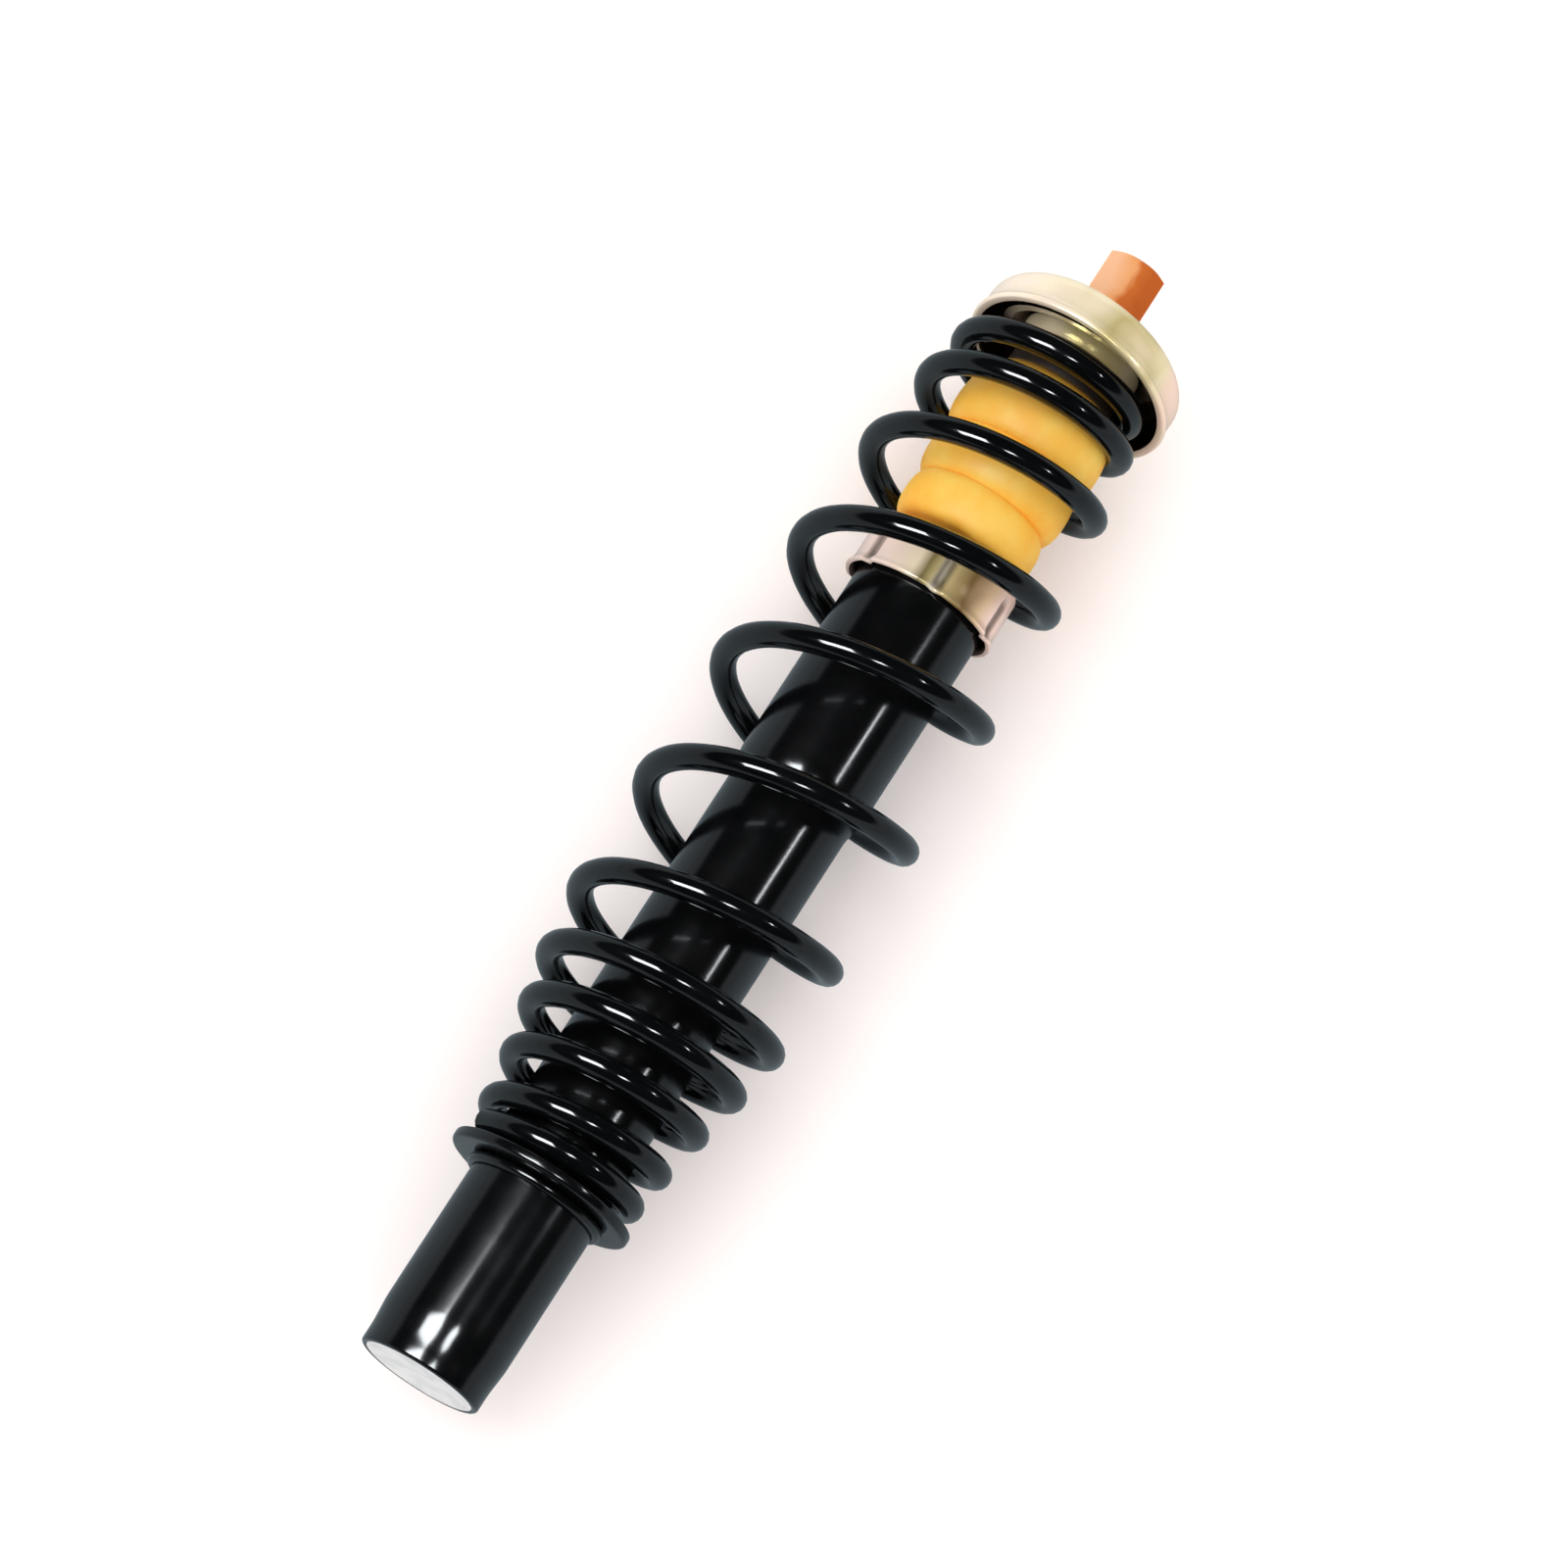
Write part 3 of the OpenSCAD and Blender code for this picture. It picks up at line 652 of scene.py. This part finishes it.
bpy.ops.object.select_all(action="DESELECT")
bpy.ops.mesh.primitive_circle_add(
    vertices=20, radius=mm(SNAP_WIRE_R), fill_type="NGON",
    location=mm(RING_ALONG, 0, -SNAP_RING_R), rotation=(math.pi / 2, 0, 0))
snap_ring = bpy.context.object
snap_ring.name = snap_ring.data.name = "snap_ring"
bpy.ops.object.transform_apply(location=True, rotation=True)
bpy.ops.object.mode_set(mode="EDIT")
bpy.ops.mesh.select_all(action="SELECT")
bpy.ops.mesh.spin(steps=96, angle=math.tau - SNAP_GAP, center=(0, 0, 0), axis=(1, 0, 0))
bpy.ops.mesh.select_all(action="SELECT")
bpy.ops.mesh.remove_doubles(threshold=1e-6)
bpy.ops.mesh.fill_holes(sides=0)
bpy.ops.mesh.normals_make_consistent(inside=False)
bpy.ops.mesh.select_all(action="SELECT")
bpy.ops.transform.rotate(value=SNAP_GAP / 2, orient_axis="X", center_override=(0, 0, 0))
bpy.ops.object.mode_set(mode="OBJECT")
finish_part(snap_ring, stoved_enamel, "strut_body", "gloss_black_paint", "seat_snap_ring")

# %% [markdown]
# ## Bump cap
# A thin cup drawn from steel sheet closes the top of the tube and takes the blows of the bumper. Its
# lip flares out, and six upright flutes are pressed into its wall until they grip the tube. The cup
# is turned as a closed sheet first.

# %% Cup
CAP_TOP = 345.6
CAP_FOOT = 324.0
SHEET = 1.6
CAP_R = 28.45
LIP_R = 29.6

cap_section = [(TUBE_TOP, 9.5), (TUBE_TOP, 18.0), (TUBE_TOP, CAP_R - SHEET - 1.2)]
cap_section += arc(TUBE_TOP - 1.2, CAP_R - SHEET - 1.2, 1.2, 90, 0, 3)[1:]
cap_section += [(x, CAP_R - SHEET) for x in (341, 339.5, 338, 336.5, 335, 333, 331, 329, 327.4)]
cap_section += [(326.2, CAP_R - SHEET + 0.15), (325.1, CAP_R - SHEET + 0.6), (324.0, LIP_R - SHEET)]
cap_section += arc(CAP_FOOT + 0.75, LIP_R - 0.75, 0.75, -80, 40, 5)
cap_section += [(325.9, 29.1), (326.6, 28.75), (327.4, 28.5)]
cap_section += [(x, CAP_R) for x in (329, 331, 333, 335, 336.5, 338, 339.5, 341)]
cap_section += arc(CAP_TOP - 2.6, CAP_R - 2.6, 2.6, 0, 90, 8)
cap_section += [(CAP_TOP, 22.0), (CAP_TOP, 16.0), (CAP_TOP, 9.5)]
bump_cap = turned("bump_cap_cup", cap_section, steps=288)

# %% [markdown]
# Then both skins of the wall are pressed in together, vertex by vertex, because a press moves the
# sheet and doesn't cut it. A flute is deepest at its middle line and fades out below the cup's top.

# %% Press the flutes
FLUTES = 6
FLUTE_FIRST = math.radians(3)
FLUTE_HALF_WIDTH = 3.7
FLUTE_DEPTH = 1.75
FLUTE_FADE, FLUTE_END = 337.5, 341.5
WALL_INNER_R = CAP_R - 3

for vertex in bump_cap.data.vertices:
    along, radius = vertex.co.x * 1000, math.hypot(vertex.co.y, vertex.co.z) * 1000
    around = math.atan2(-vertex.co.y, vertex.co.z) - FLUTE_FIRST
    nearest = around - round(around / (math.tau / FLUTES)) * math.tau / FLUTES
    aside = abs(nearest) * CAP_R / FLUTE_HALF_WIDTH
    if aside < 1 and radius > WALL_INNER_R:
        press = FLUTE_DEPTH * (0.5 + 0.5 * math.cos(math.pi * aside))
        press *= ease((FLUTE_END - along) / (FLUTE_END - FLUTE_FADE))
        vertex.co.yz *= (radius - press) / radius
finish_part(bump_cap, cap_zinc_with_painted_reflections, "strut_body", "yellow_zinc", "bump_cap", sharp=48)

# %% [markdown]
# ## Jounce bumper
# The bumper slides on the rod under the retainer and is squeezed when the suspension bottoms out.
# It is three soft lobes with a sharp fold between them, where it buckles, and a neck that is pinched
# in its cup. Each side of a lobe is part of a superellipse, rounder than a circle near the fold.

# %% Lobes of the bumper
BUMPER_FOOT, BUMPER_HEAD = 350.0, 436.0
NECK_R = 20.5
LOBE_FULLNESS, SHOULDER_FULLNESS = 2.4, 1.8


def lobe_side(fold, crown, fullness, steps=14):
    """Points from a fold to the widest ring of a lobe, without the fold itself."""
    made = []
    for step in range(steps):
        u = math.cos(math.pi / 2 * (step + 1) / steps)
        swell = (1 - u ** fullness) ** (1 / fullness)
        made.append((crown[0] + (fold[0] - crown[0]) * u, fold[1] + (crown[1] - fold[1]) * swell))
    return made


folds = [(BUMPER_FOOT, 21.5), (367.6, 22.4), (388.0, 24.0), (417.5, NECK_R)]
crowns = [(359.0, 26.2), (378.0, 27.6), (399.0, 28.5)]
bumper_section = [(BUMPER_FOOT, 8.6), (BUMPER_FOOT, 15.0), folds[0]]
for low_fold, crown, high_fold in zip(folds, crowns, folds[1:]):
    upper_fullness = SHOULDER_FULLNESS if high_fold is folds[-1] else LOBE_FULLNESS
    bumper_section += lobe_side(low_fold, crown, LOBE_FULLNESS)
    bumper_section += lobe_side(high_fold, crown, upper_fullness)[-2::-1]
    bumper_section.append(high_fold)
bumper_section += [(422.0, NECK_R), (428.0, NECK_R), (BUMPER_HEAD, NECK_R), (BUMPER_HEAD, 8.6)]
bumper = turned("jounce_bumper_urethane", bumper_section, steps=144)

# %% [markdown]
# Three small pips are left where the mould was vented: two at the shoulder, and one low at the back.
# Each is one face of the outer skin, inset and raised.

# %% Vent pips
PIPS = ((412.2, math.radians(-33)), (412.2, math.radians(24)), (364.6, math.radians(160)))
LOBE_MEAN_R, BORE_SKIN_R = mm(28), mm(18)
FACES_DOWN = -0.2
PIP_FOOT_INSET, PIP_HEIGHT, PIP_TOP_INSET = mm(0.12), mm(0.35), mm(0.1)


def off_pip(face, along, around):
    """How far a face is from a pip's place; one in the bore or under a lobe counts a metre more."""
    aside = abs(math.atan2(-face.center.y, face.center.z) - around)
    hidden = face.normal.x < FACES_DOWN or face.center.yz.length < BORE_SKIN_R
    return abs(face.center.x - mm(along)) + LOBE_MEAN_R * aside + (1 if hidden else 0)


bumper_faces = bumper.data.polygons
for pip_along, pip_around in PIPS:
    nearest_face = min(bumper_faces, key=lambda face: off_pip(face, pip_along, pip_around))
    only(bumper)
    for face in bumper_faces:
        face.select = face.index == nearest_face.index
    bpy.ops.object.mode_set(mode="EDIT")
    bpy.ops.mesh.select_mode(type="FACE")
    bpy.ops.mesh.inset(thickness=PIP_FOOT_INSET)
    bpy.ops.mesh.extrude_region_shrink_fatten(TRANSFORM_OT_shrink_fatten={"value": PIP_HEIGHT})
    bpy.ops.mesh.inset(thickness=PIP_TOP_INSET)
    bpy.ops.object.mode_set(mode="OBJECT")
    bumper_faces = bumper.data.polygons
finish_part(bumper, yellow_urethane, "rod_assembly", "yellow_urethane", "jounce_bumper", sharp=50)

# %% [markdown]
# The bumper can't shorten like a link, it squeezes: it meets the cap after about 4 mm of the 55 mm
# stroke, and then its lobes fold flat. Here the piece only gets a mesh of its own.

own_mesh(bumper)

# %% [markdown]
# ## Spring retainer
# The retainer is pressed from 2.5 mm sheet: a flat bearing face for the spring, a rounded shoulder
# and a deep rim with a small rolled lip. Its rim stands at a slant to the rod, as the spring's top
# does, while the raised cone at its middle is square to the rod and carries the nut. So rim and
# cone are turned on different axes, and booleans join them into one pressing.

# %% Slanted rim
RIM_R, RIM_H, RIM_SHEET = 40.5, 17.0, 2.5
RIM_PLACE = 425.3
RIM_TILT, RIM_TURN = math.radians(11), math.radians(20)
rim_axis = Vector((math.cos(RIM_TILT), -math.sin(RIM_TILT) * math.sin(RIM_TURN),
                   -math.sin(RIM_TILT) * math.cos(RIM_TURN)))

rim_section = [(RIM_H, 14.0), (RIM_H, 24.0)] + arc(RIM_H - 7, RIM_R - 8, 7, 90, 0, 10)
rim_section += [(7.0, RIM_R - 1), (4.6, RIM_R - 1), (3.6, RIM_R - 0.95), (2.9, RIM_R - 0.62)]
rim_section += arc(1.5, RIM_R - 0.9, 0.9, 60, -20, 4) + arc(0.75, RIM_R - 0.95, 0.75, -10, -90, 4)
rim_section += [(0.0, RIM_R - 2.0), (0.35, RIM_R - RIM_SHEET - 0.6), (1.4, RIM_R - RIM_SHEET - 0.9)]
rim_section += [(4.0, RIM_R - RIM_SHEET - 1), (8.0, RIM_R - RIM_SHEET - 1)]
rim_section += arc(RIM_H - 7, RIM_R - 8, 7 - RIM_SHEET, 0, 90, 8)
rim_section += [(RIM_H - RIM_SHEET, 24.0), (RIM_H - RIM_SHEET, 14.0)]
retainer = turned("spring_retainer", rim_section, steps=192,
                  centre=mm(RIM_PLACE, 0, 0), axis=rim_axis)

# %% [markdown]
# The cone is one more sheet, turned on the rod's own axis. A solid plug of nearly the same outline
# is turned with it, to clear the middle of the slanted pressing first.

# %% Cone of the retainer
HUB_TOP, HUB_R = 450.0, 17.0
SKIRT_FOOT, SKIRT_R = 434.0, 31.0
STUD_HOLE_R = 7.1


def cone_section(thickness):
    """The cone's outer line at some depth under its skin, from the top to the skirt."""
    bend = [(HUB_TOP - thickness, 12.0), (HUB_TOP - thickness, HUB_R - 1.2 - thickness * 0.6)]
    bend += [(HUB_TOP - 0.35 - thickness, HUB_R + 0.2 - thickness * 0.65)]
    bend += [(HUB_TOP - 1.3 - thickness, HUB_R + 1.3 - thickness * 0.7)]
    return bend + [(SKIRT_FOOT, SKIRT_R - thickness * 1.3)]


plug = turned("plug", cone_section(0.6) + [(SKIRT_FOOT - 20, SKIRT_R - 0.8),
                                           (SKIRT_FOOT - 20, 0.0), (HUB_TOP - 0.6, 0.0)], steps=128)
cone = turned("cone", [(HUB_TOP, STUD_HOLE_R)] + cone_section(0.0)
              + cone_section(RIM_SHEET)[::-1] + [(HUB_TOP - RIM_SHEET, STUD_HOLE_R)], steps=128)

# %% [markdown]
# The exact solver is slower than the others, and it keeps both skins of a thin sheet apart.

# %% Join rim and cone


def carve(part, tool, operation):
    """Applies a boolean and takes its tool away."""
    only(part)
    cut = part.modifiers.new("carve", "BOOLEAN")
    cut.operation = operation
    cut.object = tool
    cut.solver = "EXACT"
    bpy.ops.object.modifier_apply(modifier=cut.name)
    bpy.data.objects.remove(tool)


carve(retainer, plug, "DIFFERENCE")
carve(retainer, cone, "UNION")
finish_part(retainer, yellow_zinc, "rod_assembly", "yellow_zinc", "upper_spring_retainer", sharp=40)

# %% [markdown]
# ## Washer and top nut
# A thick plated washer lies between the cone and the nut. Its outer edges are rounded over.

# %% Washer
NUT_FOOT, NUT_TOP = 453.0, 474.0

washer_section = [(HUB_TOP, 7.4), (HUB_TOP, 13.4)] + arc(HUB_TOP + 0.6, 13.4, 0.6, -60, 0, 3)
washer_section += arc(NUT_FOOT - 0.6, 13.4, 0.6, 0, 90, 4) + [(NUT_FOOT, 7.4)]
washer = turned("top_washer_plated", washer_section, steps=96)
finish_part(washer, orange_zinc, "rod_assembly", "orange_zinc", "top_washer")

# %% [markdown]
# The nut is long, with wide chamfers at its ends. It starts as a six-sided bar, turned in six steps,
# and its long edges are bevelled. A lathe would face it off to a cone at both ends, so a double cone
# is kept in common with the bar, and a bore with countersunk mouths is cut through.

# %% Nut
NUT_FLATS = 22
NUT_CORNER = NUT_FLATS / 2 / math.cos(math.pi / 6)
bar_section = [(NUT_FOOT, 0.0), (NUT_FOOT, NUT_CORNER), (NUT_TOP, NUT_CORNER), (NUT_TOP, 0.0)]
faced_section = [(NUT_FOOT, 0.0), (NUT_FOOT, NUT_CORNER - 1.5), (NUT_FOOT + 0.9, NUT_CORNER + 0.02),
                 (NUT_TOP - 1.3, NUT_CORNER + 0.02), (NUT_TOP, NUT_CORNER - 2.2), (NUT_TOP, 0.0)]
bore_section = [(NUT_FOOT - 1, 0.0), (NUT_FOOT - 1, 9.0), (NUT_FOOT + 1, 7.0), (NUT_TOP - 1, 7.0),
                (NUT_TOP + 1, 9.0), (NUT_TOP + 1, 0.0)]



def is_long_edge(bar, edge):
    """True for an edge that runs along the bar, at its outside."""
    foot, top = [bar.data.vertices[index].co for index in edge.vertices]
    return abs(foot.x - top.x) > mm(10) and foot.yz.length > mm(5)


nut = turned("top_nut_plated", bar_section, steps=6)
only(nut)
for vertex in nut.data.vertices:
    vertex.select = False
for edge in nut.data.edges:
    edge.select = is_long_edge(nut, edge)
bpy.ops.object.mode_set(mode="EDIT")
bpy.ops.mesh.select_mode(type="EDGE")
bpy.ops.mesh.bevel(offset=mm(0.45), segments=3)
bpy.ops.object.mode_set(mode="OBJECT")
carve(nut, turned("facing", faced_section, steps=96), "INTERSECT")
carve(nut, turned("bore", bore_section, steps=64), "DIFFERENCE")
finish_part(nut, orange_zinc, "rod_assembly", "orange_zinc", "top_nut", sharp=12)

# %% [markdown]
# ## The spring
# The spring is a barrel with a rising pitch: its lowest coil lies on the seat, close coils follow,
# the middle opens out, and the top closes again. Its radius, height and lean are smooth functions of
# the turn, counted from the +Y side. Each change starts at some turn and is spread over some turns.
# A curve follows them, and a round bevel gives the wire.

# %% Line of the wire
WIRE_D = 9.5
FIRST_TURN, LAST_TURN = 0.06, 11.75
CLOSE_PITCH, WIDE_PITCH = 18.5, 51.75
FOOT_D, BELLY_D, CROWN_D = 69.0, 100.5, 73.0
LEAN, LEAN_FROM = 4.0, 1
RISE_FROM, RISE_OVER = 0.5, 0.8
OPEN_FROM, OPEN_OVER = 3.9, 2.1
SHUT_FROM, SHUT_OVER = 7.25, 4.6
SWELL_FROM, SWELL_OVER = 0.2, 5.6
NARROW_FROM, NARROW_OVER = 7.3, 5
POINTS_PER_TURN = 24


def eased(x):
    """Area under ease from 0 to x."""
    return 0.0 if x <= 0 else x - 0.5 if x >= 1 else x ** 3 - x ** 4 / 2


def wire_point(turn):
    """Where the middle of the wire is, in mm, at a turn."""
    along = SEAT_TOP + WIRE_D / 2 + WIRE_D * (turn - FIRST_TURN)
    along += (CLOSE_PITCH - WIRE_D) * RISE_OVER * eased((turn - RISE_FROM) / RISE_OVER)
    along += (WIDE_PITCH - CLOSE_PITCH) * OPEN_OVER * eased((turn - OPEN_FROM) / OPEN_OVER)
    along -= (WIDE_PITCH - WIRE_D) * SHUT_OVER * eased((turn - SHUT_FROM) / SHUT_OVER)
    outside = FOOT_D + (BELLY_D - FOOT_D) * ease((turn - SWELL_FROM) / SWELL_OVER)
    narrowed = (BELLY_D - CROWN_D) * ease((turn - NARROW_FROM) / NARROW_OVER)
    radius = (outside - narrowed - WIRE_D) / 2
    around = math.tau * turn
    lean = LEAN * ease((turn - LEAN_FROM) / (LAST_TURN - LEAN_FROM))
    return mm(along, radius * math.cos(around) + lean, radius * math.sin(around))


count = round((LAST_TURN - FIRST_TURN) * POINTS_PER_TURN)
turns = [FIRST_TURN + (LAST_TURN - FIRST_TURN) * i / count for i in range(count + 1)]
line = bpy.data.curves.new("spring_line", "CURVE")
line.dimensions = "3D"
path = line.splines.new("NURBS")
path.points.add(len(turns) - 1)
for point, turn in zip(path.points, turns):
    point.co = (*wire_point(turn), 1.0)
path.order_u = 4
path.use_endpoint_u = True
path.resolution_u = 3
line.bevel_depth = mm(WIRE_D / 2)
line.bevel_resolution = 6
line.use_fill_caps = True
print("wire is about", round(path.calc_length(), 2), "m long")

# %% [markdown]
# The curve is converted to a mesh, because the piece has to bend with the stroke. Last, the edge of
# each cut end is broken, as a grinder does.

# %% Wire to mesh, with broken edges at its ends
BROKEN_EDGE = mm(0.7)

spring = bpy.data.objects.new("coil_spring_wire", line)
bpy.context.scene.collection.objects.link(spring)
only(spring)
bpy.ops.object.convert(target="MESH")
spring = bpy.context.object
bpy.ops.object.mode_set(mode="EDIT")
bpy.ops.mesh.select_all(action="SELECT")
bpy.ops.mesh.remove_doubles(threshold=1e-6)
bpy.ops.mesh.normals_make_consistent(inside=False)
bpy.ops.object.mode_set(mode="OBJECT")
for vertex in spring.data.vertices:
    vertex.select = False
for edge in spring.data.edges:
    edge.select = False
for face in spring.data.polygons:
    face.select = len(face.vertices) > 4
bpy.ops.object.mode_set(mode="EDIT")
bpy.ops.mesh.select_mode(type="FACE")
bpy.ops.mesh.region_to_loop()
bpy.ops.mesh.bevel(offset=BROKEN_EDGE, segments=3)
bpy.ops.object.mode_set(mode="OBJECT")
finish_part(spring, powder_coat, None, "spring_paint", "coil_spring", sharp=50)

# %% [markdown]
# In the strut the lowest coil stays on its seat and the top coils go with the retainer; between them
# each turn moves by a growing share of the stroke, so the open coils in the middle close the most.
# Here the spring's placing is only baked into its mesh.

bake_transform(spring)

# %% [markdown]
# Two light star springs hold the valve plates on their seats. They are taken over from the packed
# model as they are, each with a finish and a mesh of its own. In the strut they flatten when their
# plate lifts; here they keep their shape.

# %% Star springs
STAR_SPRINGS = (("intake_spring", "intake_lift", "strut_body", 23.0, 3.2),
                ("check_spring", "piston_check_lift", "rod_assembly", 290.9, 2.1))

for node_name, joint_name, body, fixed_end, rise in STAR_SPRINGS:
    node = frame["nodes"][node_name]
    star = bpy.data.objects.new(node_name + "_star", node.data.copy())
    bpy.context.scene.collection.objects.link(star)
    star.matrix_world = node.matrix_world
    finish_part(star, finishes["spring steel"], body, "bright_steel", node_name)
    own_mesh(star)
    print(star.name, "flattens by", travel(joint_name), "m")
